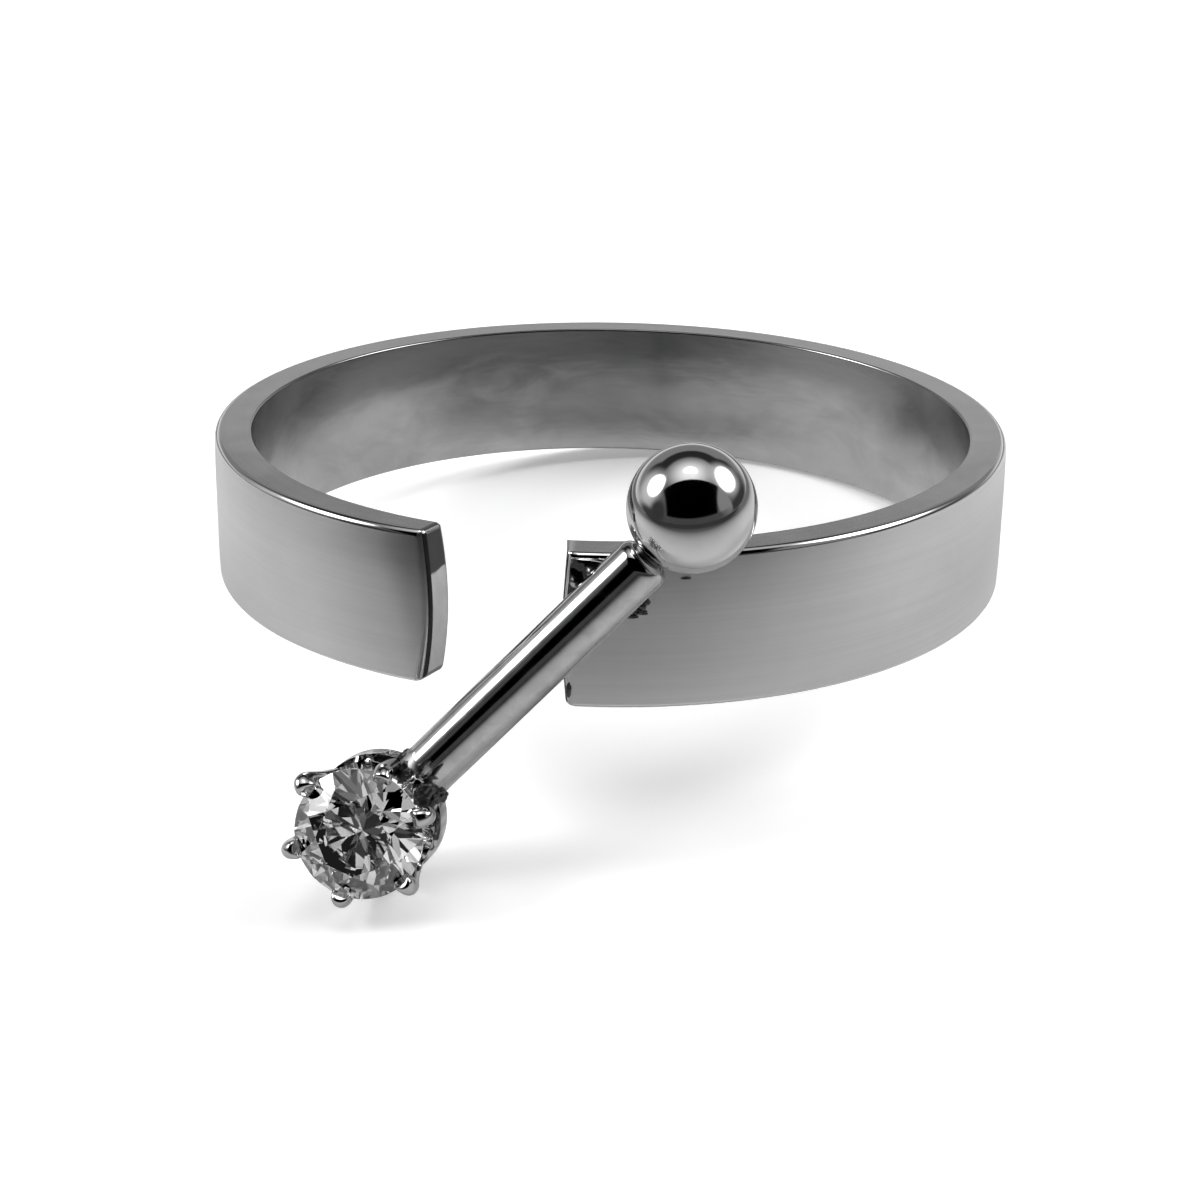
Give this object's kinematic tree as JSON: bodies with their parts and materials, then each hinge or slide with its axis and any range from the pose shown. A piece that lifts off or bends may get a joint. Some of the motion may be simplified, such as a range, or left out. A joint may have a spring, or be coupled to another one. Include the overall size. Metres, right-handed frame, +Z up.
{
  "type": "adjustable open ring",
  "caption": "Open finger ring of flat metal strip with a slanting round bar soldered across one end, a ball at its top and a round stone in a prong setting at its foot.",
  "frame": {"origin": "on the ground under the middle of the ring's box, with the ring lying on its side as it comes to rest", "axes": "+Z up from the ground, +Y from the open front with the stone towards the back of the band, +X from the stone's side towards the ball's side"},
  "size_m": [0.0194, 0.0228, 0.0091],
  "materials": {
    "brushed_metal": "satin outside, polished inside and on the edges",
    "polished_metal": "high polish",
    "clear_stone": "faceted and polished"
  },
  "bodies": {
    "root": {"soldered_ring": "brushed_metal", "stone": "clear_stone"}
  },
  "joints": []
}
